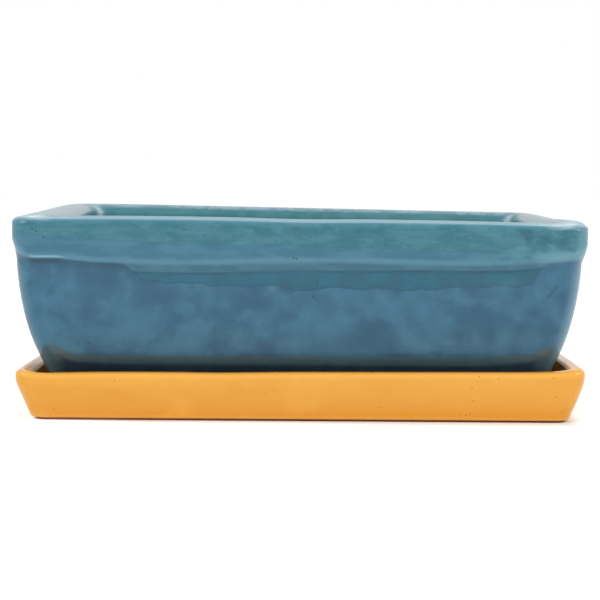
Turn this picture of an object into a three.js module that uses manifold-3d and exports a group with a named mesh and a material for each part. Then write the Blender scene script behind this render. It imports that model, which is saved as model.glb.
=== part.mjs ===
// A rectangular glazed stoneware planter that stands loose in its own drip tray.
// Millimetres, +Z up. The origin is the middle of the surface that the tray stands on.

import * as THREE from 'three';
import { mergeVertices } from 'three/addons/utils/BufferGeometryUtils.js';
import Module from 'manifold-3d';

// Pot, overall
const potLength = 254;
const potWidth = 152;
const potHeight = 83;
const potCornerRadius = 8;

// Pot, rim and the raised band round it
const rimWidth = 17;
const rimOuterRadius = 4;
const rimInnerRadius = 4.5;
const bandHeight = 17.8;
const bandStep = 2.1;
const bandSlopeHeight = 4;
const bandEdgeRadius = 4;
const bandCoveRadius = 6;

// Pot, bowed sides, wall and floor
const sideTaper = 16.1;
const crownDrop = 17.9;
const potWall = 9;
const potFloor = 9;
const baseEdgeRadius = 2;
const floorFilletRadius = 8;

// Pot, foot ring with its drain notches, and the drain holes
const footHeight = 3;
const footSetback = 2;
const footWidth = 9;
const footEdgeRadius = 0.8;
const notchWidth = 14;
const notchHeight = 2.5;
const notchSpacing = 76;
const drainDiameter = 12;
const drainSpacing = 66;
const drainCount = 3;

// Tray
const trayHeight = 23.5;
const trayWall = 7;
const trayFloor = 7;
const trayCornerRadius = 6;
const trayFlare = 6;
const trayLipHeight = 5.4;
const trayBendRadius = 15;
const trayRimRadius = 2;
const trayBottomRadius = 1.2;
const trayFilletRadius = 3;
const trayFootHeight = 1;
const trayFootSetback = 1.5;
const trayFootWidth = 12;
const trayFootEdgeRadius = 0.4;

// Clearances between the two pieces
const moatWidth = 4.4;
const seatGap = 0.3;

// Glazes
const tealGlaze = 0x47758a;
const amberGlaze = 0xeaa148;
const glazeRoughness = 0.12;

// Facets
const cornerSteps = 6;
const degreesPerFacet = 15;
const bowFacets = 10;
const drainFacets = 32;

const wasm = await Module();
wasm.setup();

// A profile is drawn in a plane where x is the distance inwards from the outline and y is the height.
const at = (inset, z, radius = 0) => ({ tip: new THREE.Vector2(inset, z), radius });

// Points along an arc. The two angles say which way it turns.
function arc(centre, radius, from, to, facets) {
  const degrees = THREE.MathUtils.radToDeg(Math.abs(to - from));
  const curve = new THREE.EllipseCurve(centre.x, centre.y, radius, radius, from, to, to < from);
  return curve.getPoints(facets ?? Math.max(2, Math.ceil(degrees / degreesPerFacet)));
}

// Turns corners into points. A corner with a radius becomes an arc that touches both of its
// neighbours, and takes up no more than half of either side.
function rounded(corners) {
  return corners.flatMap(({ tip, radius }, i) => {
    if (radius === 0) return [tip];
    const back = corners[i - 1].tip.clone().sub(tip);
    const ahead = corners[i + 1].tip.clone().sub(tip);
    const halfAngle = Math.acos(back.dot(ahead) / (back.length() * ahead.length())) / 2;
    const reach = Math.min(radius / Math.tan(halfAngle), back.length() / 2, ahead.length() / 2);
    const start = tip.clone().add(back.setLength(reach));
    const end = tip.clone().add(ahead.setLength(reach));
    const centre = tip.clone().add(back.add(ahead).setLength(reach / Math.cos(halfAngle)));
    const from = start.clone().sub(centre).angle();
    const turn = end.clone().sub(centre).angle() - from;
    const shortTurn = turn - 2 * Math.PI * Math.round(turn / (2 * Math.PI));
    return arc(centre, start.distanceTo(centre), from, from + shortTurn);
  });
}

// One level of a body: a rounded rectangle, drawn in from the outline by the inset.
function ring(outline, inset, z) {
  const points = [];
  for (let quarter = 0; quarter < 4; quarter += 1) {
    const alongX = quarter === 0 || quarter === 3 ? 1 : -1;
    const alongY = quarter < 2 ? 1 : -1;
    const x = alongX * (outline.length / 2 - inset - outline.corner);
    const y = alongY * (outline.width / 2 - inset - outline.corner);
    for (let step = 0; step <= cornerSteps; step += 1) {
      const angle = (quarter + step / cornerSteps) * Math.PI / 2;
      points.push([x + outline.corner * Math.cos(angle), y + outline.corner * Math.sin(angle), z]);
    }
  }
  return points;
}

// Carries a profile round an outline. The profile starts under the floor, runs outwards, up
// the wall, over the rim and down inside, and flat faces close its first and last rings.
function vessel(profile, outline) {
  const apart = 0.01;
  const distinct = profile.filter((point, i) => i === 0 || point.distanceTo(profile[i - 1]) > apart);
  const rings = distinct.map((point) => ring(outline, point.x, point.y));
  const count = rings[0].length;
  const indices = [];
  for (let level = 0; level < rings.length - 1; level += 1) {
    for (let i = 0; i < count; i += 1) {
      const next = (i + 1) % count;
      const here = level * count;
      const after = here + count;
      indices.push(here + i, here + next, after + next);
      indices.push(here + i, after + next, after + i);
    }
  }
  const last = (rings.length - 1) * count;
  for (let i = 1; i < count - 1; i += 1) {
    indices.push(0, i + 1, i);
    indices.push(last, last + i, last + i + 1);
  }
  const geometry = new THREE.BufferGeometry();
  geometry.setAttribute('position', new THREE.Float32BufferAttribute(rings.flat(2), 3));
  geometry.setIndex(indices);
  return geometry;
}

// A closed body, ready for cutting.
function solid(geometry) {
  geometry.deleteAttribute('normal');
  geometry.deleteAttribute('uv');
  const merged = mergeVertices(geometry);
  return new wasm.Manifold(new wasm.Mesh({
    numProp: 3,
    vertProperties: new Float32Array(merged.attributes.position.array),
    triVerts: new Uint32Array(merged.index.array),
  }));
}

function geometryOf(body) {
  const mesh = body.getMesh();
  const geometry = new THREE.BufferGeometry();
  geometry.setAttribute('position', new THREE.BufferAttribute(mesh.vertProperties, 3));
  geometry.setIndex(new THREE.BufferAttribute(mesh.triVerts, 1));
  return geometry;
}

// The pot's side is bowed: part of a circle that stands upright at the crown, behind the
// band, and has drawn in by the taper where it reaches the underside.
const crown = potHeight - crownDrop;
const bowHeight = crown - footHeight;
const bowRadius = (bowHeight ** 2 + sideTaper ** 2) / (2 * sideTaper);
const bowCentre = new THREE.Vector2(bandStep + bowRadius, crown);
const sideInset = (z) => bowCentre.x - Math.sqrt(bowRadius ** 2 - (crown - z) ** 2);

// An arc that blends a bowed face, from its inner side, into a level one: its centre, and
// the angle at which it leaves the bow.
function blendToLevel(faceRadius, level, blendRadius) {
  const drop = crown - level - blendRadius;
  const reach = faceRadius - blendRadius;
  const centre = new THREE.Vector2(bowCentre.x - Math.sqrt(reach ** 2 - drop ** 2), level + blendRadius);
  return { centre, angle: Math.PI + Math.asin(drop / reach) };
}

// Where the bow meets the underside, and where the foot ring stands under it.
const straightDown = 1.5 * Math.PI;
const baseEdge = blendToLevel(bowRadius, footHeight, baseEdgeRadius);
const potFloorTop = footHeight + potFloor;

function footProfile() {
  const outside = baseEdge.centre.x + footSetback;
  const inside = outside + footWidth;
  return rounded([
    at(inside, footHeight),
    at(inside, 0, footEdgeRadius),
    at(outside, 0, footEdgeRadius),
    at(outside, footHeight),
  ]);
}

// Underside, bowed side, cove under the band, band, rim, and the rim's inner face.
function outerProfile() {
  const bandFoot = potHeight - bandHeight;
  const bandCove = bandFoot - bandSlopeHeight;
  const bowTop = bandCove - bandCoveRadius;
  const bowTopAngle = Math.PI + Math.asin((crown - bowTop) / bowRadius);
  return [
    ...arc(baseEdge.centre, baseEdgeRadius, straightDown, baseEdge.angle),
    ...arc(bowCentre, bowRadius, baseEdge.angle, bowTopAngle, bowFacets),
    ...rounded([
      at(sideInset(bowTop), bowTop),
      at(bandStep, bandCove, bandCoveRadius),
      at(0, bandFoot, bandEdgeRadius),
      at(0, potHeight, rimOuterRadius),
      at(rimWidth, potHeight, rimInnerRadius),
      at(rimWidth, crown),
    ]),
  ];
}

// Inside, the wall drops straight from the rim until only its own thickness is left, and
// keeps that thickness along the bow, down to the rounded edge of the floor.
function innerProfile() {
  const innerBow = bowRadius - potWall;
  const straightDrop = Math.sqrt(Math.max(0, innerBow ** 2 - (bowCentre.x - rimWidth) ** 2));
  const straightEnd = Math.PI + Math.asin(straightDrop / innerBow);
  const floorEdge = blendToLevel(innerBow, potFloorTop, floorFilletRadius);
  return [
    ...arc(bowCentre, innerBow, straightEnd, floorEdge.angle, bowFacets),
    ...arc(floorEdge.centre, floorFilletRadius, floorEdge.angle, straightDown),
  ];
}

function drainHole(x) {
  const depth = 2 * potFloorTop;
  const hole = new THREE.CylinderGeometry(drainDiameter / 2, drainDiameter / 2, depth, drainFacets);
  hole.rotateX(Math.PI / 2);
  hole.translate(x, 0, potFloorTop / 2);
  return solid(hole);
}

// A notch across the pot, through the foot ring's front and back runs.
function footNotch(x) {
  const notch = new THREE.BoxGeometry(notchWidth, potWidth, 2 * notchHeight);
  notch.translate(x, 0, 0);
  return solid(notch);
}

function planterPot() {
  const outline = { length: potLength, width: potWidth, corner: potCornerRadius };
  const profile = [...footProfile(), ...outerProfile(), ...innerProfile()];
  let body = solid(vessel(profile, outline));
  for (let i = 0; i < drainCount; i += 1) {
    body = body.subtract(drainHole((i - (drainCount - 1) / 2) * drainSpacing));
  }
  for (const side of [-1, 1]) {
    body = body.subtract(footNotch(side * notchSpacing / 2));
  }
  return geometryOf(body);
}

// The pot's foot stands on the tray's floor. The tray's wall is set out from the pot: they
// are one moat's width apart where the pot passes the tray's rim.
const trayFloorTop = trayFootHeight + trayFloor;
const seat = trayFloorTop + seatGap;
const trayInset = sideInset(trayHeight - seat) - moatWidth - trayWall;

// Foot, flared wall that turns upright near its top, rim, and the same wall inside.
function trayProfile() {
  const footOutside = trayFlare + trayFootSetback;
  const footInside = footOutside + trayFootWidth;
  const bend = trayHeight - trayLipHeight;
  const slope = Math.atan(trayFlare / (bend - trayFootHeight));
  const innerBend = bend + trayWall * Math.tan(slope / 2);
  const floorEdge = trayWall + (innerBend - trayFloorTop) * Math.tan(slope);
  return rounded([
    at(footInside, trayFootHeight),
    at(footInside, 0, trayFootEdgeRadius),
    at(footOutside, 0, trayFootEdgeRadius),
    at(footOutside, trayFootHeight),
    at(trayFlare, trayFootHeight, trayBottomRadius),
    at(0, bend, trayBendRadius),
    at(0, trayHeight, trayRimRadius),
    at(trayWall, trayHeight, trayRimRadius),
    at(trayWall, innerBend, trayBendRadius - trayWall),
    at(floorEdge, trayFloorTop, trayFilletRadius),
    at(2 * floorEdge, trayFloorTop),
  ]);
}

function dripTray() {
  const outline = {
    length: potLength - 2 * trayInset,
    width: potWidth - 2 * trayInset,
    corner: trayCornerRadius,
  };
  return geometryOf(solid(vessel(trayProfile(), outline)));
}

function piece(name, geometry, colour) {
  const finish = { color: colour, roughness: glazeRoughness, metalness: 0 };
  const mesh = new THREE.Mesh(geometry, new THREE.MeshStandardMaterial(finish));
  mesh.name = name;
  return mesh;
}

const planter = new THREE.Group();
planter.name = 'planter';

const tray = piece('drip_tray', dripTray(), amberGlaze);
planter.add(tray);

const pot = piece('planter_pot', planterPot(), tealGlaze);
pot.position.z = seat;
planter.add(pot);

export default planter;
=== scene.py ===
# A rectangular glazed planter that stands loose in its own drip tray, on a white studio floor.
# Shapes and the patterns of their glazes are worked out in millimetres in the planter's frame.
# The shapes become metres in their meshes. The studio is set out in metres.

import math

import bmesh
import bpy
import numpy as np
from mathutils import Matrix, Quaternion, Vector


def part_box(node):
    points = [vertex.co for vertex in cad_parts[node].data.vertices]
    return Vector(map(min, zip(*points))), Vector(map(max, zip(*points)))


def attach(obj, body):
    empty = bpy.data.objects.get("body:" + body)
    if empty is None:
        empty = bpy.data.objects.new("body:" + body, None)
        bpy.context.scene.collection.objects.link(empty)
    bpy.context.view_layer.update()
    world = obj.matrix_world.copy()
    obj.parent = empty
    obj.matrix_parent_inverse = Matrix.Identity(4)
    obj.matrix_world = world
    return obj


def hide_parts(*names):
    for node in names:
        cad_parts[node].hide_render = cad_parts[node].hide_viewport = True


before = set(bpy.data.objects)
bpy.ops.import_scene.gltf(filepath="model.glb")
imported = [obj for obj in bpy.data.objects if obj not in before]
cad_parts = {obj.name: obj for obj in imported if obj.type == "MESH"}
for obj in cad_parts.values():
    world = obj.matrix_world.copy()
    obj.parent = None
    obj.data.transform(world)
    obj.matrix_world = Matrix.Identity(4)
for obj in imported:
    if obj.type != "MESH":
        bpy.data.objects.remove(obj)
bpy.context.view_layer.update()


# Drip tray: one piece of red clay pressed in a mould, with a flat floor and a flared wall that
# turns upright below its rim. It is dipped in a yellow-orange glaze all over but for its low
# foot, which is wiped bare so that it doesn't stick to the kiln shelf. It stands on the floor.

def rounded_path(corners, turn=9.0):
    """A path of straight stretches whose corners are arcs. A corner is (inset, height, radius).
    Its arc touches both stretches at radius / tan(half the angle between them) from the tip,
    or at half the shorter stretch if that is less."""
    path = []
    for i, (inset, height, radius) in enumerate(corners):
        tip = np.array([inset, height], float)
        if radius == 0:
            path.append(tip[None])
            continue
        back = np.array(corners[i - 1][:2]) - tip
        ahead = np.array(corners[i + 1][:2]) - tip
        longest = min(np.hypot(*back), np.hypot(*ahead)) / 2
        back, ahead = back / np.hypot(*back), ahead / np.hypot(*ahead)
        half = math.acos(np.clip(back @ ahead, -1, 1)) / 2
        reach = min(radius / math.tan(half), longest)
        middle = tip + (back + ahead) / np.hypot(*(back + ahead)) * reach / math.cos(half)
        path.append(arc_between(middle, tip + back * reach, tip + ahead * reach, turn))
    return np.vstack(path)


def arc_between(middle, start, end, turn=9.0):
    """The shorter way round a circle from start to end, in steps of at most turn degrees."""
    first = math.atan2(*(start - middle)[::-1])
    swing = (math.atan2(*(end - middle)[::-1]) - first + math.pi) % (2 * math.pi) - math.pi
    steps = max(2, math.ceil(abs(math.degrees(swing)) / turn))
    angle = first + swing * np.linspace(0, 1, steps + 1)
    return middle + np.hypot(*(start - middle)) * np.stack([np.cos(angle), np.sin(angle)], 1)


def filled(path, stride):
    """The path with points added where they lie more than stride apart, and none doubled."""
    too_close = 0.02
    path = path[np.append(True, np.hypot(*np.diff(path, axis=0).T) > too_close)]
    step = np.diff(path, axis=0)
    parts = np.maximum(1, np.ceil(np.hypot(*step.T) / stride)).astype(int)
    start = np.repeat(np.arange(len(parts)), parts)
    share = (np.arange(len(start)) - np.repeat(np.cumsum(parts) - parts, parts)) / parts[start]
    return np.vstack([path[start] + share[:, None] * step[start], path[-1:]])


def lap_round(long_side, short_side, corner_steps):
    """One lap round a rounded rectangle, anticlockwise from the left end of the front: where
    each point's arc centre lies along x in mm and along y as a share, and its angle there."""
    quarter = np.linspace(0, math.pi / 2, corner_steps + 1)
    end = long_side[-1]
    inner_long, inner_short = long_side[1:-1], short_side[1:-1]
    stretches = [
        (inner_long, -1, -math.pi / 2),
        (end, -1, quarter - math.pi / 2),
        (end, inner_short, 0),
        (end, 1, quarter),
        (inner_long[::-1], 1, math.pi / 2),
        (-end, 1, quarter + math.pi / 2),
        (-end, inner_short[::-1], math.pi),
        (-end, -1, quarter + math.pi),
    ]
    return np.hstack([np.broadcast_arrays(*map(np.asarray, s)) for s in stretches]).astype(float)


def carried_round(lap, size, corner, path, kept):
    """The path carried round the lap: a ring at every point of the path, drawn in from the
    outline by its inset. Along x, points nearer the middle than kept stay where they are."""
    along_x, along_y, angle = lap
    inset, level = path.T[:, :, None]
    corner = np.broadcast_to(np.asarray(corner, float), len(path))[:, None]
    full = np.abs(along_x).max()
    reach = size[0] / 2 - inset - corner
    beyond = np.maximum(np.abs(along_x) - kept, 0) / (full - kept)
    x = np.sign(along_x) * (np.minimum(np.abs(along_x), kept) + beyond * (reach - kept))
    x = x + corner * np.cos(angle)
    y = along_y * (size[1] / 2 - inset - corner) + corner * np.sin(angle)
    return np.stack([x, y, np.broadcast_to(level, x.shape)], 2)


def length_along(points):
    """How far along a line of points each of them lies, from the first."""
    step = np.linalg.norm(np.diff(points, axis=0), axis=1)
    return np.append(0.0, np.cumsum(step))


def length_round(ring):
    """How far round a closed ring each of its points lies, and last the length of the lap."""
    return length_along(np.vstack([ring, ring[:1]]))


def bend_of(path, soften):
    """How sharply the path turns at each point, in radians per mm, more than 0 where the clay
    stands out. Each value is an average over its surroundings, under a bell of soften mm."""
    step = np.diff(path, axis=0)
    heading = np.unwrap(np.arctan2(step[:, 1], step[:, 0]))
    turn = np.pad(-np.diff(heading), 1)
    along = length_along(path)
    bell = np.exp(-0.5 * ((along[:, None] - along[None]) / soften) ** 2)
    return bell @ turn / (soften * math.sqrt(2 * math.pi))


def wander(points, wavelength, seed):
    """A smooth field from -1 to 1: twice the mean of eight plane waves of about that
    wavelength, whose directions and phases come from the seed, cut off beyond 1."""
    count = 8
    draw = np.random.default_rng(seed)
    ways = draw.normal(size=(count, 3))
    ways /= np.linalg.norm(ways, axis=1)[:, None]
    pitch = 2 * math.pi / (wavelength * draw.uniform(0.7, 1.4, count))
    waves = np.sin(points @ (ways * pitch[:, None]).T + draw.uniform(0, 2 * math.pi, count))
    return np.clip(2 * waves.mean(-1), -1, 1)


def hump(value, middle, reach):
    """A bell that is 1 at the middle and falls to about a third at that reach from it."""
    return np.exp(-((value - middle) / reach) ** 2)


def humps(value, bells):
    """The sum of bells, each given as its height, its middle and its reach."""
    return sum(height * hump(value, middle, reach) for height, middle, reach in bells)


def soft_step(value, start, end):
    """0 until value comes to start, 1 once it is past end, and a smooth S between them."""
    share = np.clip((value - start) / (end - start), 0, 1)
    return share * share * (3 - 2 * share)


def soft_steps(value, climbs):
    """The sum of soft steps, each given as its height and where it starts and ends."""
    return sum(height * soft_step(value, start, end) for height, start, end in climbs)


def with_ends(middle, left, right, at_left, at_right):
    """The value of the middle, which gives way at each end to the value there."""
    return middle * (1 - at_left - at_right) + left * at_left + right * at_right


def ceramic_mesh(name, sheets):
    """Joins sheets into one closed mesh. A sheet is a grid of points that closes on itself
    along its columns, with values of each attribute that are spread over it, and the UV map's
    two axes: the distance round the piece by column, with one more for the seam, and by row."""
    places, faces, corners_uv, first = [], [], [], 0
    for sheet in sheets:
        rows, columns = sheet["points"].shape[:2]
        here = first + np.arange(rows - 1)[:, None] * columns + np.arange(columns)
        following = first + np.arange(rows - 1)[:, None] * columns + np.roll(np.arange(columns), -1)
        faces.append(np.stack([here, following, following + columns, here + columns], 2).reshape(-1, 4))
        u, v = np.broadcast_arrays(sheet["round"][None, :], sheet["along"][:, None])
        uv = np.stack([u, v], 2)
        quads = np.stack([uv[:-1, :-1], uv[:-1, 1:], uv[1:, 1:], uv[1:, :-1]], 2)
        corners_uv.append(quads.reshape(-1, 2))
        places.append(sheet["points"].reshape(-1, 3))
        first += rows * columns
    mesh = bpy.data.meshes.new(name)
    mesh.from_pydata(np.vstack(places) / 1000, [], np.vstack(faces))
    skin = mesh.uv_layers.new(name="round_and_along")
    skin.uv.foreach_set("vector", np.vstack(corners_uv).ravel() / 1000)
    for key in sheets[0]["values"]:
        spread = [np.broadcast_to(s["values"][key], s["points"].shape[:2]).ravel() for s in sheets]
        mesh.attributes.new(key, "FLOAT", "POINT").data.foreach_set("value", np.hstack(spread))
    shell = bmesh.new()
    shell.from_mesh(mesh)
    weld = 2e-6
    bmesh.ops.remove_doubles(shell, verts=shell.verts, dist=weld)
    bmesh.ops.dissolve_degenerate(shell, edges=shell.edges, dist=weld)
    shell.to_mesh(mesh)
    shell.free()
    mesh.shade_smooth()
    made = bpy.data.objects.new(name, mesh)
    bpy.context.scene.collection.objects.link(made)
    return made


tray_low, tray_high = (np.array(corner) * 1000 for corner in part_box("drip_tray"))
tray_size = (tray_high - tray_low)[:2]
tray_height = tray_high[2]
tray_corner = 6.0
tray_inner_corner = 2.5
tray_wall = 7.0
tray_floor = 7.0
tray_flare = 6.0
tray_lip = 5.4
tray_foot_height = 1.0
tray_foot_setback = 1.5
tray_foot_width = 12.0
tray_foot_edge_radius = 0.4
tray_foot_cove_radius = 0.3
tray_under_edge_radius = 1.2
tray_bend_radius = 15.0
tray_rim_outer_radius = 2.4
tray_rim_inner_radius = 3.4
tray_inner_bend_radius = 8.0
tray_floor_fillet = 3.0
tray_bare_by_foot = 0.6
tray_stride = 1.6
tray_floor_top = tray_foot_height + tray_floor
tray_bend = tray_height - tray_lip
tray_slope = math.atan(tray_flare / (tray_bend - tray_foot_height))
tray_inner_bend = tray_bend + tray_wall * math.tan(tray_slope / 2)
tray_floor_edge = tray_wall + (tray_inner_bend - tray_floor_top) * math.tan(tray_slope)
tray_foot_outside = tray_flare + tray_foot_setback
tray_foot_inside = tray_foot_outside + tray_foot_width

tray_path = filled(rounded_path([
    (tray_foot_inside, tray_foot_height, 0),
    (tray_foot_inside, 0, tray_foot_edge_radius),
    (tray_foot_outside, 0, tray_foot_edge_radius),
    (tray_foot_outside, tray_foot_height, tray_foot_cove_radius),
    (tray_flare, tray_foot_height, tray_under_edge_radius),
    (0, tray_bend, tray_bend_radius),
    (0, tray_height, tray_rim_outer_radius),
    (tray_wall, tray_height, tray_rim_inner_radius),
    (tray_wall, tray_inner_bend, tray_inner_bend_radius),
    (tray_floor_edge, tray_floor_top, tray_floor_fillet),
    (2 * tray_floor_edge, tray_floor_top, 0),
]), tray_stride)

# Both flat faces are drawn in to a line along the middle, where the corners' radius runs out.
draw_in = np.linspace(0, 1, 9)[1:]
to_line = tray_size[1] / 2 - tray_corner


def closing(path_end):
    """Rings from the path's end in to the middle line, and then in to the line itself."""
    inset = path_end[0] + (to_line - path_end[0]) * draw_in
    inset = np.append(inset, [to_line + tray_corner / 2, to_line + tray_corner])
    return np.stack([inset, np.full_like(inset, path_end[1])], 1)


tray_under, tray_middle = closing(tray_path[0])[::-1], closing(tray_path[-1])
tray_rows = np.vstack([tray_under, tray_path, tray_middle])

# From the rim's crest to the inner wall the corners grow tighter. Nearer the middle line their
# radius is no more than what is left of the width.
tray_inside = np.arange(len(tray_rows)) > len(tray_under) + np.argmax(tray_path[:, 1])
tray_inward = tray_inside * soft_step(tray_rows[:, 0], 1, tray_wall)
tray_radius = tray_corner + (tray_inner_corner - tray_corner) * tray_inward
tray_radius = np.clip(tray_size[1] / 2 - tray_rows[:, 0], 0, tray_radius)
tray_long = np.linspace(-1, 1, 85) * (tray_size[0] / 2 - tray_corner)
tray_short = np.linspace(-1, 1, 49)
tray_lap = lap_round(tray_long, tray_short, corner_steps=10)
tray_points = carried_round(tray_lap, tray_size, tray_radius, tray_rows, kept=0)
tray_along = length_along(tray_rows)
tray_glaze_start = tray_along[len(tray_under)] + tray_foot_height + tray_foot_width + tray_bare_by_foot

# Drying and firing have moved the clay a little, most at the rim, all in mm. The front of the
# rim is lower at the left than at the right and slightly wavy. The left end sinks towards the
# back and its top slopes inward, and the right end stands up, most in front.
tray_x, tray_y, tray_level = (tray_points[..., axis].copy() for axis in range(3))
rise = soft_step(tray_level, tray_floor_top, tray_height)
tray_rim_waves = [(0.5, 122, 12), (-0.30, -35, 20), (-0.25, -108, 12)]
front_rim = -0.95 + 0.006 * tray_x + humps(tray_x, tray_rim_waves)
back_rim = -0.5 + 0.3 * wander(tray_points, wavelength=70, seed=5)
left_rim = -0.6 - 1.4 * soft_step(tray_y, -65, 0)
right_rim = 1.3 - 1.2 * soft_step(tray_y, -65, 20)
tray_front = soft_step(tray_y, 0, -60)
long_rims = tray_front * front_rim + (1 - tray_front) * back_rim
tray_left, tray_right = soft_step(tray_x, -114, -124), soft_step(tray_x, 114, 124)
rim_shift = with_ends(long_rims, left_rim, right_rim, tray_left, tray_right)
left_slope = 1.8
rim_shift = rim_shift - left_slope * tray_inward[:, None] * soft_step(tray_x, -108, -116)
tray_points[..., 2] += rise * rim_shift

# The tray stands a little to the right, and is longer at its foot than the mould, hardly so at
# its rim. Its long walls are drawn in, unevenly and by at most 0.2 percent.
stands_right, longer_foot, longer_rim, walls_in = 0.7, 0.3, 0.03, 0.0022
longer = longer_foot + (longer_rim - longer_foot) * rise
tray_points[..., 0] += stands_right + longer * tray_x / tray_high[0]
tray_unevenness = wander(tray_points, wavelength=90, seed=4)
tray_points[..., 1] *= 1 - walls_in * rise * (1 + tray_unevenness) / 2

# The distance round is measured on one ring of the path, outside, and serves all the rings.
girth_ring = 40
tray_sheet = {
    "points": tray_points,
    "round": length_round(tray_points[len(tray_under) + girth_ring]),
    "along": tray_along,
    "values": {
        "glaze_reach": (tray_along - tray_glaze_start)[:, None],
        "edge": bend_of(tray_rows, soften=0.9)[:, None],
    },
}
drip_tray = ceramic_mesh("glazed_drip_tray", [tray_sheet])


def node(tree, kind, sockets=None, **settings):
    """Adds a node. Sockets gives each input a number, a colour or an output to link to it."""
    made = tree.nodes.new(kind)
    for name, value in settings.items():
        setattr(made, name, value)
    for name, value in (sockets or {}).items():
        if isinstance(value, bpy.types.NodeSocket):
            tree.links.new(value, made.inputs[name])
        else:
            made.inputs[name].default_value = value
    return made


def colour(red, green, blue):
    """A colour given as it shows on a screen, 0 to 255, in the linear values that nodes use."""
    shown = np.array([red, green, blue]) / 255
    linear = np.where(shown <= 0.04045, shown / 12.92, ((shown + 0.055) / 1.055) ** 2.4)
    return (*linear, 1.0)


def mixed(tree, share, first, second):
    """The first colour, giving way to the second as share goes from 0 to 1."""
    return node(tree, "ShaderNodeMix", {0: share, 6: first, 7: second}, data_type="RGBA").outputs[2]


def maths(tree, operation, first, second=0.0, third=0.0):
    """One step of arithmetic on numbers or outputs."""
    return node(tree, "ShaderNodeMath", {0: first, 1: second, 2: third}, operation=operation).outputs[0]


def product(tree, first, *others):
    """Numbers or outputs multiplied together."""
    for other in others:
        first = maths(tree, "MULTIPLY", first, other)
    return first


def wavering(tree, value, waver, breadth):
    """The value moved to and fro by noise around 0.5, so that a line along it wanders over
    about that breadth."""
    return maths(tree, "MULTIPLY_ADD", maths(tree, "SUBTRACT", waver, 0.5), breadth, value)


def eased(tree, value, start, end, before=0.0, after=1.0):
    """Goes in a smooth S from before to after, as value goes from start to end, and stays
    level past both."""
    sockets = {"Value": value, "From Min": start, "From Max": end, "To Min": before, "To Max": after}
    return node(tree, "ShaderNodeMapRange", sockets, interpolation_type="SMOOTHSTEP").outputs[0]


def strip(tree, value, outer, inner, other_inner, other_outer):
    """1 between the two inner limits, and eased down to 0 at the outer one on either side."""
    return product(tree, eased(tree, value, outer, inner), eased(tree, value, other_outer, other_inner))


def thin_line(tree, distance, core, reach, strength):
    """That strength within the core's distance of a line, eased down to 0 at the reach."""
    return eased(tree, maths(tree, "ABSOLUTE", distance), core, reach, strength, 0)


def attribute(tree, name):
    """A value that the mesh carries at each of its points."""
    return node(tree, "ShaderNodeAttribute", attribute_name=name, attribute_type="GEOMETRY").outputs["Fac"]


def in_mm(tree, place):
    """The x, y and z of a place, or the two distances of a place on the skin, in mm."""
    scaled = node(tree, "ShaderNodeMapping", {"Vector": place, "Scale": (1000, 1000, 1000)})
    return node(tree, "ShaderNodeSeparateXYZ", {0: scaled.outputs[0]}).outputs


def cloud(tree, place, size, detail=2.0, stretch=(1, 1, 1), shift=(0, 0, 0)):
    """Smooth noise around 0.5 in patches of about that size in mm, drawn out by stretch."""
    spread = [1 / s for s in stretch]
    drawn = node(tree, "ShaderNodeMapping", {"Vector": place, "Scale": spread, "Location": shift})
    sockets = {"Vector": drawn.outputs[0], "Scale": 1000 / size, "Detail": detail, "Roughness": 0.5}
    return node(tree, "ShaderNodeTexNoise", sockets).outputs["Fac"]


def dot(tree, distance, radius):
    """1 in the inner four tenths of that radius, eased down to 0 at the radius."""
    return eased(tree, distance, 0.4 * radius, radius, 1, 0)


def pinholes(tree, skin, spacing, radius, share):
    """Small pits in the glaze: a dot of that radius in a share of the cells of a random
    pattern on the skin. Lengths are in mm."""
    cells = node(tree, "ShaderNodeTexVoronoi", {"Vector": skin, "Scale": 1000 / spacing},
                 voronoi_dimensions="2D")
    near = dot(tree, cells.outputs["Distance"], radius / spacing)
    picked = node(tree, "ShaderNodeSeparateColor", {0: cells.outputs["Color"]}).outputs[0]
    return product(tree, near, maths(tree, "LESS_THAN", picked, share))


def dots_at(tree, place, path, width, radius, spots):
    """A dot of that radius at each spot (x, z) on the front of a piece, whose outside follows
    the path and which has that width. Depth counts for less, as the real skin is a little off."""
    depth_share = 0.15
    near_skin = node(tree, "ShaderNodeMapping", {"Vector": place, "Scale": (1000, 1000 * depth_share, 1000)})
    outside = path[:np.argmax(path[:, 1])]
    total = 0.0
    for x, z in spots:
        y = np.interp(z, outside[:, 1], outside[:, 0]) - width / 2
        ends = {0: near_skin.outputs[0], 1: (x, depth_share * y, z)}
        away = node(tree, "ShaderNodeVectorMath", ends, operation="DISTANCE").outputs["Value"]
        total = maths(tree, "MAXIMUM", total, dot(tree, away, radius))
    return total


def bare_clay(tree, place):
    """Fired red clay: its colour with fine dark grains, and its height in mm. Where the tray stands on the
    floor it is painted dark as a contact shadow, but hardly at the left."""
    grain = cloud(tree, place, 0.9, 4)
    patch = cloud(tree, place, 14, 3, shift=(0.3, 0.1, 0.2))
    tone = mixed(tree, eased(tree, patch, 0.3, 0.7), colour(158, 94, 65), colour(176, 110, 78))
    tone = mixed(tree, eased(tree, grain, 0.55, 0.75, 0, 0.5), tone, colour(100, 56, 38))
    where = in_mm(tree, place)
    low, not_left = eased(tree, where["Z"], 0, 1.4, 0.85, 0), eased(tree, where["X"], -100, 0, 0.1, 1)
    # Painted contact shadow low on the foot, fading out at the left.
    painted_contact_shadow = product(tree, low, not_left)
    tone = mixed(tree, painted_contact_shadow, tone, colour(52, 24, 6))
    grain_height = 0.12
    return tone, product(tree, grain, grain_height)


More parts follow.
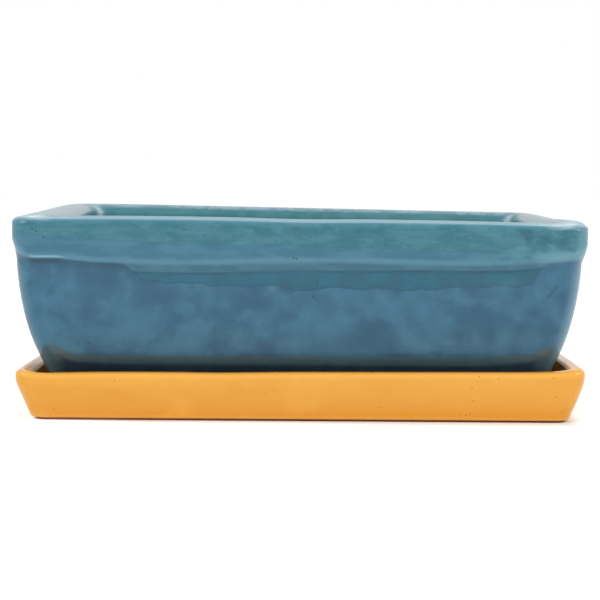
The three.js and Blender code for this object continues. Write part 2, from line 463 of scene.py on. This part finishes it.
def glazed(tree, place, tone, height, roughness, uneven_edge):
    """Finishes a glaze: where the mesh's glaze_reach runs out the clay shows, with a rolled
    edge of glaze along an uneven line, and the whole is one glossy surface."""
    glaze_depth, clay_roughness, refraction = 0.25, 0.8, 1.5
    line = wavering(tree, attribute(tree, "glaze_reach"), cloud(tree, place, 11, 3), uneven_edge)
    covered = eased(tree, line, -0.15, 0.15)
    clay, clay_height = bare_clay(tree, place)
    tone = mixed(tree, eased(tree, line, 0.0, 1.2, 0.35, 0), tone, clay)
    tone = mixed(tree, covered, clay, tone)
    over_clay = maths(tree, "ADD", height, glaze_depth)
    relief = node(tree, "ShaderNodeMix", {0: covered, 2: clay_height, 3: over_clay}).outputs[0]
    rough = node(tree, "ShaderNodeMix", {0: covered, 2: clay_roughness, 3: roughness}).outputs[0]
    bump = node(tree, "ShaderNodeBump", {"Height": relief, "Strength": 1.0, "Distance": 0.001})
    shader = node(tree, "ShaderNodeBsdfPrincipled", {
        "Base Color": tone, "Roughness": rough, "IOR": refraction, "Normal": bump.outputs[0],
    })
    node(tree, "ShaderNodeOutputMaterial", {"Surface": shader.outputs[0]})


def new_material(name):
    """An empty material, with the places that its nodes start from: in space and on the skin."""
    made = bpy.data.materials.new(name)
    made.use_nodes = True
    made.node_tree.nodes.clear()
    place = node(made.node_tree, "ShaderNodeTexCoord").outputs["Object"]
    skin = node(made.node_tree, "ShaderNodeUVMap", uv_map="round_and_along").outputs[0]
    return made, made.node_tree, place, skin


amber, tree, place, skin = new_material("amber_glaze")

# Its colour is painted deeper towards the foot, as shade. It is thin and pale over edges, partly as glaze
# and partly as a painted highlight, and dark where the glaze pools in hollows.
up = in_mm(tree, place)["Z"]
tone = mixed(tree, eased(tree, up, 1, 15), colour(222, 148, 32), colour(231, 162, 47))
tone = mixed(tree, eased(tree, up, 16, 20), tone, colour(223, 156, 46))
patches = cloud(tree, place, 22, 3)
tone = mixed(tree, eased(tree, patches, 0.52, 0.70, 0, 0.5), tone, colour(235, 168, 56))
tone = mixed(tree, eased(tree, patches, 0.48, 0.32, 0, 0.5), tone, colour(225, 152, 36))
bend = attribute(tree, "edge")
# Pale edges: thin glaze and a painted highlight.
tone = mixed(tree, eased(tree, bend, 0.05, 0.35, 0, 0.3), tone, colour(238, 182, 84))
tone = mixed(tree, eased(tree, bend, -0.03, -0.3, 0, 0.6), tone, colour(200, 118, 24))
freckles = eased(tree, cloud(tree, place, 1.1, 2), 0.66, 0.76, 0, 0.4)
tone = mixed(tree, freckles, tone, colour(196, 124, 24))

# It has pits all over, and the ones that show on the front lie where they do on the real tray.
tray_pits = [
    (79.4, 21.5), (87.9, 20.6), (112.1, 21.3), (76.4, 16.5), (77.4, 10.5), (113.3, 12.5), (117, 5.4),
    (-81, 18.6), (-108.5, 5.2), (72, 4.0), (74.3, 3.7), (76.2, 4.1),
]
front_pits = dots_at(tree, place, tray_path, tray_size[1], radius=0.42, spots=tray_pits)
scattered = pinholes(tree, skin, spacing=12, radius=0.34, share=0.16)
pits = maths(tree, "MAXIMUM", scattered, front_pits)
tone = mixed(tree, product(tree, pits, 0.6), tone, colour(140, 72, 14))
ripple_height, pit_height = 0.07, -0.12
ripple = product(tree, cloud(tree, place, 9, 2), ripple_height)
relief = maths(tree, "MULTIPLY_ADD", pits, pit_height, ripple)
glazed(tree, place, tone, relief, roughness=0.13, uneven_edge=1.0)
drip_tray.data.materials.append(amber)

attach(drip_tray, "tray")
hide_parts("drip_tray")


# Planter pot: one piece of red clay, pressed in a mould with bowed sides, a raised band round
# its rim, a foot ring with four drain notches and three drain holes. It is dipped in teal-blue
# glaze outside and a little way down inside, and its rim is dipped again. It stands in the tray.

pot_low, pot_high = (np.array(corner) * 1000 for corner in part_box("planter_pot"))
pot_size = (pot_high - pot_low)[:2]
pot_seat = pot_low[2]
pot_height = pot_high[2] - pot_low[2]
pot_corner = 8.0
rim_width = 17.0
rim_crest = 9.5
rim_crest_radius = 14.0
rim_outer_drop = 1.4
rim_outer_radius = 3.0
rim_inner_drop = 4.6
band_height = 17.8
band_step = 2.1
band_slope = 4.0
band_edge_radius = 4.0
band_cove_radius = 6.0
side_taper = 16.1
crown_drop = 17.9
pot_wall = 9.0
pot_floor = 9.0
base_edge_radius = 2.0
floor_fillet = 8.0
foot_height = 3.0
foot_setback = 2.0
foot_width = 9.0
foot_edge_radius = 0.8
foot_cove_radius = 0.4
notch_width = 14.0
notch_height = 2.5
notch_spacing = 76.0
notch_rounding = 0.8
drain_radius = 6.0
drain_spacing = 66.0
drain_lip = 1.4
drain_rim = 3.0
pot_stride = 1.9
bare_by_foot = 1.6
glazed_inside = 26.0

# The side is bowed: part of a circle that stands upright at the crown, just behind the band.
crown = pot_height - crown_drop
bow_radius = ((crown - foot_height) ** 2 + side_taper ** 2) / (2 * side_taper)
bow_middle = np.array([band_step + bow_radius, crown])
band_foot = pot_height - band_height
band_cove = band_foot - band_slope
bow_top = band_cove - band_cove_radius
floor_top = foot_height + pot_floor
inner_bow = bow_radius - pot_wall


def on_bow(radius, level):
    """The point of the bow, or of a circle round the same middle, at that level."""
    return bow_middle - [math.sqrt(radius ** 2 - (crown - level) ** 2), crown - level]


def into_level(radius, level, blend):
    """An arc from the bow of that radius into a level face, on the bow's inner side: the
    middle of the arc, where it leaves the bow, and where it meets the level face."""
    drop = crown - level - blend
    middle = bow_middle - [math.sqrt((radius - blend) ** 2 - drop ** 2), drop]
    away = (middle - bow_middle) / np.hypot(*(middle - bow_middle))
    return middle, middle + away * blend, middle - [0, blend]


base_middle, base_side, base_under = into_level(bow_radius, foot_height, base_edge_radius)
fillet_middle, fillet_side, fillet_floor = into_level(inner_bow, floor_top, floor_fillet)
inner_start = on_bow(inner_bow, crown - math.sqrt(inner_bow ** 2 - (bow_middle[0] - rim_width) ** 2))
foot_outside = base_middle[0] + foot_setback
foot_inside = foot_outside + foot_width

# The rim rises gently from its outer edge to its crest, and falls to the inner wall in a
# quarter of an oval.
rim_fall = np.linspace(math.pi / 2, 0, 13)
rim_inside = np.stack([
    rim_crest + (rim_width - rim_crest) * np.cos(rim_fall),
    pot_height - rim_inner_drop * (1 - np.sin(rim_fall)),
], 1)

bow_turn, rim_turn = 1.0, 7.5
pot_path = np.vstack([
    rounded_path([
        (foot_inside, foot_height, 0),
        (foot_inside, 0, foot_edge_radius),
        (foot_outside, 0, foot_edge_radius),
        (foot_outside, foot_height, foot_cove_radius),
        (*base_under, 0),
    ]),
    arc_between(base_middle, base_under, base_side),
    arc_between(bow_middle, base_side, on_bow(bow_radius, bow_top), bow_turn),
    rounded_path([
        (*on_bow(bow_radius, bow_top), 0),
        (band_step, band_cove, band_cove_radius),
        (0, band_foot, band_edge_radius),
        (0, pot_height - rim_outer_drop, rim_outer_radius),
        (rim_crest - 1, pot_height, rim_crest_radius),
        (rim_crest, pot_height, 0),
    ], rim_turn),
    rim_inside,
    arc_between(bow_middle, inner_start, fillet_side, bow_turn),
    arc_between(fillet_middle, fillet_side, fillet_floor),
])
pot_path = filled(pot_path, pot_stride)
pot_along = length_along(pot_path)

# Points along a long side: even ones, closer ones at both edges of each notch, and one on each
# line that parts the floor between two drain holes. Up to kept_reach from the middle they keep
# their place along x at every level, so that the notches' edges run straight.
kept_reach = 60
straight_end = pot_size[0] / 2 - pot_corner
parting = drain_spacing / 2
notch_edges = (notch_spacing + np.array([-1, 1]) * notch_width) / 2
close_up = (notch_edges[:, None] + 1.5 * notch_rounding * np.linspace(-1, 1, 7)).ravel()
even = np.linspace(0, kept_reach, 21)
even = even[np.abs(even[:, None] - close_up).min(1) > notch_rounding]
even = even[np.abs(even - parting) > notch_rounding]
half_side = np.unique(np.hstack([even, close_up, parting]))
half_side = np.append(half_side, np.linspace(kept_reach, straight_end, 21)[1:])
pot_long, pot_short = np.append(-half_side[:0:-1], half_side), np.linspace(-1, 1, 47)
pot_lap = lap_round(pot_long, pot_short, corner_steps=12)
pot_points = carried_round(pot_lap, pot_size, pot_corner, pot_path, kept=kept_reach)


def drain_sheet(left, right, x):
    """The floor from left to right, round a drain hole at x: a grid that runs from the floor's
    edge in to the hole, down through it, and out again under the floor. It shares its outer
    points with the pot's first and last rings and with the sheets beside it."""
    loops, margin = [], 0.01
    for ring in (pot_points[-1], pot_points[0]):
        loop = ring[(ring[:, 0] > left - margin) & (ring[:, 0] < right + margin)]
        across = np.linspace(-1, 1, 27)[1:-1] * ring[:, 1].max()
        for line in (left, right):
            if abs(line) < straight_end:
                parted = np.stack([np.full_like(across, line), across, np.full_like(across, ring[0, 2])], 1)
                loop = np.vstack([loop, parted])
        loops.append(loop)
    order = np.argsort(np.arctan2(loops[0][:, 1], loops[0][:, 0] - x))
    top, under = (loop[order] for loop in loops)
    middle = np.array([x, 0, 0])
    away = (top - middle) * [1, 1, 0]
    away /= np.linalg.norm(away, axis=1)[:, None]
    hole = filled(rounded_path([
        (drain_radius + drain_rim, floor_top, 0),
        (drain_radius, floor_top, drain_lip),
        (drain_radius, foot_height, drain_lip),
        (drain_radius + drain_rim, foot_height, 0),
    ]), drain_rim / 2)
    through = middle + hole[:, None, :1] * away + hole[:, None, 1:] * [0, 0, 1]

    # The rings lie closer together near the hole. The whole floor is bare, so that the glazes
    # reach none of it.
    share = (np.linspace(1, 0, 9)[:-1] ** 1.5)[:, None, None]
    points = np.vstack([
        through[0] + share * (top - through[0]),
        through,
        through[-1] + share[::-1] * (under - through[-1]),
    ])
    bare, plain = -30.0, 0.0
    return {
        "points": points,
        "inset": 0.0,
        "inside": False,
        "round": length_round(top),
        "along": length_along(points[:, 0]),
        "values": {"glaze_reach": bare, "dip_reach": bare, "painted_shade_reach": bare,
                   "edge": plain, "painted_corner_highlight": plain},
    }


def length_at(inset, level):
    """How far along the pot's path the point lies that is nearest to that inset and level."""
    return pot_along[np.argmin(np.hypot(*(pot_path - [inset, level]).T))]


# How far each point lies, along the pot's skin, inside the first coat of glaze, and inside the
# second one. The first runs from the foot up and over the rim to a line on the inner wall. The
# second ends under the ridge, in steps and drips where the front was brushed: (depth, from, to)
# and (depth, middle, reach) along x.
from_ridge = pot_along - length_at(0, band_foot)
glaze_start = length_at(foot_outside, bare_by_foot)
glaze_end = length_at(rim_width, pot_height - glazed_inside)
first_coat = np.minimum(pot_along - glaze_start, glaze_end - pot_along)
place_x, place_y, place_level = (pot_points[..., axis].copy() for axis in range(3))
coat_steps = [(8.6, -80, -66), (1.6, -46, -36), (1.4, -12, -4), (-2.0, 50, 68), (-9.6, 102, 108)]
coat_drips = [(1.2, 0, 7), (0.8, 54, 12)]
front_depth = 1.0 + soft_steps(place_x, coat_steps) + humps(place_x, coat_drips)
other_depth = 10 + 3 * wander(pot_points, wavelength=60, seed=21)
front = soft_step(place_y, 20, -70)
second_coat = from_ridge[:, None] + front * front_depth + (1 - front) * other_depth

# Low on the sides, and a little higher at the corners, the first coat is painted dark, as the tray's shade
# and dark reflection.
painted_shade_height = 20.2
painted_shade_corners = [(5.0, -109.5, 5.5), (0.7, -99, 10), (4.4, 111, 6), (1.5, 99, 12)]
painted_shade_top = painted_shade_height + humps(place_x, painted_shade_corners)

# How sharply the skin bends, up and down and round the corners. At the rim's edges it counts
# for a fifth, because the glaze has hardly run off them.
pot_inset, pot_level = pot_path[:, :1], pot_path[:, 1:]
edge = bend_of(pot_path, soften=1.1)[:, None]
edge = np.where((edge > 0) & (pot_level > band_foot + 6), edge / 5, edge)
pot_angle = pot_lap[2]
round_corner = 0.11 * np.abs(np.sin(2 * pot_angle))
edge = edge + round_corner * (pot_inset < base_middle[0])

# Down the opening's two back corners a pale highlight is painted, and a fainter one down the front's right
# corner. The corners are (share, angle, reach) round the pot.
pot_inside = np.arange(len(pot_path))[:, None] > np.argmax(pot_path[:, 1])
down_inside = pot_inside * soft_step(pot_level, 50, 70) * soft_step(pot_inset, 13, 16)
down_outside = ~pot_inside * soft_step(pot_level, 14, 26)
back_corners = [(1, 0.70 * math.pi, 0.2), (1, 0.30 * math.pi, 0.2)]
front_corner = [(0.28, -0.15 * math.pi, 0.6)]
painted_corner_highlight = down_inside * humps(pot_angle, back_corners) + down_outside * humps(pot_angle, front_corner)

pot_sheets = [
    {
        "points": pot_points,
        "inset": pot_inset,
        "inside": pot_inside,
        "round": length_round(pot_points[girth_ring]),
        "along": from_ridge,
        "values": {
            "glaze_reach": first_coat[:, None],
            "dip_reach": second_coat,
            "painted_shade_reach": painted_shade_top - place_level,
            "edge": edge,
            "painted_corner_highlight": painted_corner_highlight,
        },
    },
    drain_sheet(-pot_size[0], -parting, -drain_spacing),
    drain_sheet(-parting, parting, 0.0),
    drain_sheet(parting, pot_size[0], drain_spacing),
]

# Drying and firing have moved the pot's clay. The same rules move every sheet, so that the
# points which they share stay together. Sizes are in mm, a wave is (height, middle, reach) and
# a step is (height, from, to) along x.
rim_drop, rim_tilt, rim_twist, rim_rounding = -1.42, -1.41, -0.57, 0.3
front_rise, front_tilt, front_waves = 0.45, -0.15, [(-0.45, 0, 22)]
left_corner_lift, right_corner_lift, right_edge_lift = 1.3, 2.0, 0.9
ridge_drop, ridge_swing, ridge_wavelength, ridge_waves = -1.75, -0.45, 115, [(-0.6, -65, 32)]
ridge_steps = [(1.2, -90, -108), (1.6, 92, 120)]
ridge_at_left, ridge_at_right, cove_at_left, cove_at_right = 3.4, 2.2, 4.2, 2.5
cove_drop, cove_left_rise = -0.2, 1.4
opening_right, opening_narrower = 2.1, -0.9
side_bulge, band_in, worn_left, worn_right = 0.4, 0.5, 1.05, -0.75
walls_in = 0.0024
for sheet in pot_sheets:
    points, inside = sheet["points"], sheet["inside"]
    x, y, level = (points[..., axis].copy() for axis in range(3))
    front = soft_step(y, 20, -70)
    at_left, at_right = soft_step(x, -117, -127), soft_step(x, 117, 127)

    # Each notch in the foot ring lifts the clay between its edges.
    from_edge = notch_width / 2 - np.abs(np.abs(x) - notch_spacing / 2)
    cut = notch_height * soft_step(from_edge, -notch_rounding, notch_rounding)
    points[..., 2] += cut * np.clip(1 - level / foot_height, 0, 1)

    # The rim falls from left to right and its far left corner stands highest. Its front edge
    # is a little wavy, and both front corners turn up. Nothing rises above the mould's height.
    long_share, short_share = x / (pot_size[0] / 2), y / (pot_size[1] / 2)
    front_wave = front_rise + front_tilt * long_share - long_share ** 4 + humps(x, front_waves)
    right_lift = right_corner_lift + (right_edge_lift - right_corner_lift) * soft_step(y, -60, -74)
    corner_lift = left_corner_lift * soft_step(x, -106, -122) + right_lift * soft_step(x, 110, 124)
    rim = rim_drop + rim_tilt * long_share + rim_twist * long_share * short_share
    rim = rim + front * front_wave + corner_lift * soft_step(y, -5, -55)
    rim = np.minimum(rim, rim_rounding * (np.tanh(rim / rim_rounding + 1) - 1))

    # Under it the band's lower edge, the ridge, sags and waves along the front, and stands
    # higher round both ends. The cove below it follows, but sags less at the front's left.
    ridge = ridge_drop + ridge_swing * np.cos(2 * math.pi * (x + 44) / ridge_wavelength)
    ridge = ridge + humps(x, ridge_waves) + soft_steps(x, ridge_steps)
    other_ridge = -1.0 + 0.7 * wander(points, wavelength=140, seed=11)
    ridge = front * ridge + (1 - front) * other_ridge
    cove = ridge + cove_drop + cove_left_rise * front * soft_step(x, -60, -110)
    ridge = with_ends(ridge, ridge_at_left, ridge_at_right, at_left, at_right)
    cove = with_ends(cove, cove_at_left, cove_at_right, at_left, at_right)
    outside_shift = (cove * soft_step(level, 15, band_cove)
                     + (ridge - cove) * soft_step(level, band_cove, band_foot)
                     + (rim - ridge) * soft_step(level, band_foot + 1, pot_height))
    inside_shift = rim * soft_step(level, 35, pot_height)
    points[..., 2] += np.where(inside, inside_shift, outside_shift)

    # The opening lies a little to the right, so that the left wall is the thicker one.
    down_wall = soft_step(sheet["inset"], rim_crest, rim_width) * soft_step(level, 20, 60)
    points[..., 0] += inside * down_wall * (opening_right + opening_narrower * x / 110)

    # At the left end the side bulges out and the band stands further in. At both ends the
    # ridge is worn round.
    outside = np.logical_not(inside)
    bulge = side_bulge * hump(level, 40, 24) * soft_step(level, floor_top, 30)
    inward = band_in * soft_step(level, band_cove, band_foot) - bulge
    worn = hump(level, band_foot, np.where(level > band_foot, 2.6, 2.4))
    worn_in = worn_left * soft_step(x, -118, -125) + worn_right * soft_step(x, 118, 125)
    points[..., 0] += outside * (soft_step(x, -60, -127) * inward + worn * worn_in)

    # The long walls have been drawn in, unevenly and by at most 0.24 percent.
    drawn_in = walls_in * soft_step(level, foot_height, 30)
    unevenness = wander(np.stack([x, y, level], -1), wavelength=85, seed=8)
    points[..., 1] *= 1 - drawn_in * (1 + unevenness) / 2
    points[..., 2] += pot_seat

planter_pot = ceramic_mesh("glazed_planter_pot", pot_sheets)

teal, tree, place, skin = new_material("teal_glaze")
right, back = in_mm(tree, place)[:2]
off_middle, off_axis = maths(tree, "ABSOLUTE", right), maths(tree, "ABSOLUTE", back)
above_ridge = in_mm(tree, skin)["Y"]

# The first coat is a clouded teal-blue. Above the foot it is painted dark, as shade and a dark reflection of
# the tray, though less so at the corners.
large = cloud(tree, place, 34, 2, stretch=(1, 1, 0.8))
middling = cloud(tree, place, 9, 3, shift=(0.7, 0.2, 0.4))
tone = mixed(tree, eased(tree, large, 0.32, 0.68), colour(16, 79, 107), colour(40, 99, 125))
tone = mixed(tree, eased(tree, middling, 0.47, 0.74, 0, 0.85), tone, colour(48, 104, 130))
tone = mixed(tree, eased(tree, middling, 0.53, 0.26, 0, 0.85), tone, colour(8, 74, 103))
# Painted shade and reflection of the tray, low on the pot.
below_shade_top = attribute(tree, "painted_shade_reach")
at_corner = product(tree, eased(tree, off_middle, 103, 109), eased(tree, off_axis, 45, 55))
deep = product(tree, eased(tree, below_shade_top, 2.8, 4.8), maths(tree, "SUBTRACT", 1.0, at_corner))
painted_moat_shade = mixed(tree, deep, colour(60, 80, 84), colour(38, 38, 46))
moat_shade_line = wavering(tree, below_shade_top, cloud(tree, place, 14, 2), 1.2)
tone = mixed(tree, eased(tree, moat_shade_line, -0.3, 0.3, 0, 0.8), tone, painted_moat_shade)

# The second coat has short level streaks and small dabs. High on the band it is a little
# greener, and the two shades part along an uneven, fine dark line that comes down the band
# from left to right.
streaks = cloud(tree, place, 11, 4, stretch=(1, 1, 0.3), shift=(0.1, 0.5, 0.3))
dabs = cloud(tree, place, 5, 2, stretch=(1, 1, 0.6), shift=(0.4, 0.4, 0.1))
patchy = cloud(tree, place, 9, 4)
upper = mixed(tree, eased(tree, streaks, 0.36, 0.64), colour(34, 100, 113), colour(54, 113, 127))
upper = mixed(tree, eased(tree, dabs, 0.58, 0.70, 0, 0.5), upper, colour(22, 90, 99))
upper = mixed(tree, eased(tree, dabs, 0.42, 0.30, 0, 0.4), upper, colour(70, 126, 138))
lower = mixed(tree, eased(tree, streaks, 0.36, 0.64), colour(42, 100, 122), colour(56, 110, 132))
parting_height, parting_fall = 6.7, 0.0217
over_parting = maths(tree, "MULTIPLY_ADD", right, parting_fall, above_ridge)
over_parting = wavering(tree, over_parting, patchy, 2.4)
over_parting = maths(tree, "SUBTRACT", over_parting, parting_height)
second = mixed(tree, eased(tree, over_parting, -1.6, 1.6), lower, upper)
parting_line = thin_line(tree, over_parting, 0.1, 0.5, 0.22)
second = mixed(tree, parting_line, second, colour(20, 84, 98))

# It is greener inside and a paler blue on the lip, partly as a painted highlight. Over the rim's shoulder a
# sheen is painted palest.
inner = mixed(tree, eased(tree, middling, 0.4, 0.6), colour(56, 126, 132), colour(66, 136, 143))
second = mixed(tree, eased(tree, above_ridge, 30, 36), second, inner)
lip = strip(tree, above_ridge, 15.5, 18.5, 20, 26)
second = mixed(tree, product(tree, lip, 0.8), second, colour(80, 148, 172))
painted_shoulder_sheen = product(tree, strip(tree, above_ridge, 25, 27.5, 29.5, 32.5),
                   eased(tree, dabs, 0.35, 0.65, 0.35, 0.85), eased(tree, off_middle, 106, 111, 1, 0.15))
second = mixed(tree, painted_shoulder_sheen, second, colour(128, 164, 178))

# At both ends of the front a pale highlight is painted over the lip, further down at the right.
lip_foot = eased(tree, right, -100, 100, 15, 14.3)
above_foot = maths(tree, "SUBTRACT", above_ridge, lip_foot)
painted_lip_glint = product(tree, eased(tree, above_foot, 0, 2.2), eased(tree, above_ridge, 26, 20),
                  eased(tree, off_middle, 106, 114), eased(tree, back, -62, -70))
second = mixed(tree, product(tree, painted_lip_glint, 0.45), second, colour(205, 222, 230))

# Under the ridge it lies thick and blue, between a dark line above, which stands higher at the
# right, and its own ragged lower edge, which is dark too.
thick = mixed(tree, eased(tree, middling, 0.32, 0.68), colour(0, 78, 102), colour(0, 89, 112))
thick_top = eased(tree, right, 20, 60, -5.1, -3.8)
from_top = maths(tree, "SUBTRACT", above_ridge, thick_top)
second = mixed(tree, eased(tree, from_top, 1.1, 0), second, thick)
ragged = wavering(tree, attribute(tree, "dip_reach"), patchy, 4.0)
dipped = eased(tree, ragged, -0.2, 0.2)
tone = mixed(tree, dipped, tone, second)
under_ridge = product(tree, dipped, eased(tree, from_top, 0.8, -0.2))
lower_line = product(tree, eased(tree, ragged, 0.2, 1.5, 0.4, 0), under_ridge)
upper_line = product(tree, thin_line(tree, from_top, 0.2, 0.8, 0.7), under_ridge,
                     eased(tree, streaks, 0.38, 0.60, 0.3, 1))
for dark_line in (lower_line, upper_line):
    tone = mixed(tree, dark_line, tone, colour(3, 62, 86))

# Over what stands out the glaze is pale, partly thin glaze and partly a painted highlight, and in hollows it
# is dark, partly pooled glaze and partly painted shade.
bend = attribute(tree, "edge")
tone = mixed(tree, eased(tree, bend, 0.03, 0.20, 0, 0.8), tone, colour(80, 130, 152))
tone = mixed(tree, eased(tree, bend, -0.03, -0.22, 0, 0.5), tone, colour(12, 78, 102))
# The painted highlight down the corners.
corner_highlight_share = product(tree, attribute(tree, "painted_corner_highlight"), 0.8)
tone = mixed(tree, corner_highlight_share, tone, colour(176, 196, 206))

# At the left end of the front a painted highlight follows the ridge as a thin pale line, over a painted
# shadow.
left_end = product(tree, strip(tree, right, -100, -108, -115.5, -119.5), eased(tree, back, -60, -66))
painted_ridge_highlight = product(tree, thin_line(tree, above_ridge, 0.2, 0.7, 0.8), left_end)
tone = mixed(tree, painted_ridge_highlight, tone, colour(128, 170, 192))
from_shadow_line = maths(tree, "ADD", above_ridge, 3.0)
painted_ridge_shadow = product(tree, thin_line(tree, from_shadow_line, 0.5, 2.4, 0.85), left_end)
tone = mixed(tree, painted_ridge_shadow, tone, colour(8, 66, 84))

# Towards the right end the second coat is more uneven, with pale patches that fade below the ridge and dark
# ones that keep to the top of the band. A highlight is painted a little pale on the ridge's own end.
right_end = product(tree, eased(tree, right, 60, 110, 0, 0.75), dipped, eased(tree, back, -58, -70))
smears = cloud(tree, place, 12, 4, stretch=(1.3, 1, 0.6), shift=(0.915, 0.1, 0.6))
pale_patch = product(tree, eased(tree, smears, 0.50, 0.62), right_end,
                     eased(tree, above_ridge, -4, 2, 0.3, 1))
tone = mixed(tree, pale_patch, tone, colour(76, 132, 142))
dark_patch = product(tree, eased(tree, smears, 0.50, 0.38), right_end,
                     eased(tree, above_ridge, 4, 12, 0.4, 1), eased(tree, above_ridge, 16.5, 14.5))
tone = mixed(tree, dark_patch, tone, colour(12, 80, 94))
from_crest = maths(tree, "SUBTRACT", above_ridge, 1.0)
painted_ridge_end_highlight = product(tree, thin_line(tree, from_crest, 1.0, 3.0, 0.16),
                    eased(tree, right, 98, 112), eased(tree, back, -58, -66))
tone = mixed(tree, painted_ridge_end_highlight, tone, colour(144, 174, 188))

# It has a few pits, and one dark stroke that a brush has left near the right end.
pot_pits = [
    (-2.4, 73.4), (-1.2, 73.1), (6.7, 57.2), (6.3, 56.2), (6.9, 55.3), (8.1, 62.7),
    (-93.3, 34.5), (-116.4, 85.4), (-114.8, 84.2), (-111.6, 81.6),
]
brush_stroke = [
    (109.2, 56.8), (110.0, 57.3), (110.7, 58.2), (111.4, 59.2), (112.2, 60.3), (112.9, 61.3),
]
seated_path = pot_path + [0, pot_seat]
front_pits = dots_at(tree, place, seated_path, pot_size[1], radius=0.5, spots=pot_pits)
scattered = pinholes(tree, skin, spacing=15, radius=0.34, share=0.10)
pits = maths(tree, "MAXIMUM", scattered, front_pits)
tone = mixed(tree, product(tree, pits, 0.85), tone, colour(0, 34, 42))
stroke = dots_at(tree, place, seated_path, pot_size[1], radius=1.2, spots=brush_stroke)
tone = mixed(tree, product(tree, stroke, 0.75), tone, colour(14, 80, 98))

# The heights are in mm: a slow ripple, the streaks, the second coat's own depth and the pits.
ripple_height, streak_height, coat_height, pit_height = 0.09, 0.015, 0.08, -0.06
relief = product(tree, cloud(tree, place, 9, 2, stretch=(1.6, 1.6, 0.7)), ripple_height)
relief = maths(tree, "MULTIPLY_ADD", streaks, streak_height, relief)
relief = maths(tree, "MULTIPLY_ADD", dipped, coat_height, relief)
relief = maths(tree, "MULTIPLY_ADD", pits, pit_height, relief)
glazed(tree, place, tone, relief, roughness=0.22, uneven_edge=9.0)
planter_pot.data.materials.append(teal)

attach(planter_pot, "pot")
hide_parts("planter_pot")


# Studio: a white floor and surroundings, two large soft lamps in front and two small ones far
# behind that glint in the rim, and the camera straight in front, a little above the rim. The
# floor shows the object's own shadow.

def shown_directly(tree):
    """1 for what the camera sees, directly, in a gloss or through glass, and 0 for light."""
    path = node(tree, "ShaderNodeLightPath").outputs
    seen = maths(tree, "MAXIMUM", path["Is Camera Ray"], path["Is Glossy Ray"])
    return maths(tree, "MAXIMUM", seen, path["Is Transmission Ray"])


surround = bpy.data.worlds.new("white_surround")
surround.use_nodes = True
tree = surround.node_tree
tree.nodes.clear()
white = (1, 1, 1, 1)
strength_as_light, strength_as_seen = 0.72, 1.0
lighting = node(tree, "ShaderNodeBackground", {"Color": white, "Strength": strength_as_light})
backdrop = node(tree, "ShaderNodeBackground", {"Color": white, "Strength": strength_as_seen})
either = node(tree, "ShaderNodeMixShader", {
    0: shown_directly(tree), 1: lighting.outputs[0], 2: backdrop.outputs[0],
})
node(tree, "ShaderNodeOutputWorld", {"Surface": either.outputs[0]})
bpy.context.scene.world = surround

floor_reach = 3.0
floor_mesh = bpy.data.meshes.new("studio_floor")
floor_corners = np.array([(-1, -1, 0), (1, -1, 0), (1, 1, 0), (-1, 1, 0)]) * floor_reach
floor_mesh.from_pydata(floor_corners, [], [(0, 1, 2, 3)])
studio_floor = bpy.data.objects.new("studio_floor", floor_mesh)
bpy.context.scene.collection.objects.link(studio_floor)
paper = bpy.data.materials.new("white_paper")
paper.use_nodes = True
tree = paper.node_tree
tree.nodes.clear()
paper_white = (0.85, 0.85, 0.85, 1)
matt = node(tree, "ShaderNodeBsdfDiffuse", {"Color": paper_white})

# The paper looks white all round the tray, but not in the shadow under its overhang. The shadow
# is narrower at the left and wider towards the right. All are in mm.
shadow_half_length, shadow_half_width, shadow_fade = 118, 70, 8
narrower_left, wider_right = 6, 2.5
paper_lift = 0.4
right, back = in_mm(tree, node(tree, "ShaderNodeTexCoord").outputs["Object"])[:2]
beyond_end = maths(tree, "SUBTRACT", maths(tree, "ABSOLUTE", right), shadow_half_length)
beyond_side = maths(tree, "SUBTRACT", maths(tree, "ABSOLUTE", back), shadow_half_width)
beyond = maths(tree, "MAXIMUM", beyond_end, beyond_side)
beyond = maths(tree, "ADD", beyond, eased(tree, right, -60, -120, 0, narrower_left))
beyond = maths(tree, "SUBTRACT", beyond, eased(tree, right, -20, 60, 0, wider_right))
clear = eased(tree, beyond, 0, shadow_fade)
lift = node(tree, "ShaderNodeEmission", {
    "Strength": product(tree, shown_directly(tree), clear, paper_lift),
})
both = node(tree, "ShaderNodeAddShader", {0: matt.outputs[0], 1: lift.outputs[0]})
node(tree, "ShaderNodeOutputMaterial", {"Surface": both.outputs[0]})
floor_mesh.materials.append(paper)


def soft_lamp(name, place, aim, size, power):
    """A square soft lamp at place that faces aim, in metres and watts."""
    light = bpy.data.lights.new(name, "AREA")
    light.size = size
    light.energy = power
    lamp = bpy.data.objects.new(name, light)
    lamp.location = place
    lamp.rotation_euler = (Vector(aim) - Vector(place)).to_track_quat("-Z", "Y").to_euler()
    bpy.context.scene.collection.objects.link(lamp)


at_body, at_rim = (0, 0, 0.05), (0, 0, 0.08)
soft_lamp("left_lamp", (-0.9, -0.9, 0.9), at_body, size=0.8, power=9)
soft_lamp("right_lamp", (1.0, -0.7, 0.8), at_body, size=0.8, power=7.5)
soft_lamp("back_left_lamp", (-0.38, 1.3, 0.65), at_rim, size=0.07, power=0.07)
soft_lamp("back_right_lamp", (0.38, 1.3, 0.65), at_rim, size=0.07, power=0.05)

# The camera stands 0.76 m in front, looks 5.5 degrees down and leans 0.4 degrees.
camera_place = (0.0004, -0.7596, 0.12126)
look_down, lean = math.radians(5.535), math.radians(0.4)
sensor_mm, lens_mm = 36.0, 94.3
camera_data = bpy.data.cameras.new("camera")
camera_data.sensor_width = sensor_mm
camera_data.lens = lens_mm
camera = bpy.data.objects.new("camera", camera_data)
camera.location = camera_place
camera.rotation_mode = "QUATERNION"
tilted = Quaternion((1, 0, 0), math.radians(90) - look_down)
camera.rotation_quaternion = tilted @ Quaternion((0, 0, 1), lean)
bpy.context.scene.collection.objects.link(camera)
bpy.context.scene.camera = camera
bpy.context.scene.view_settings.view_transform = "Standard"
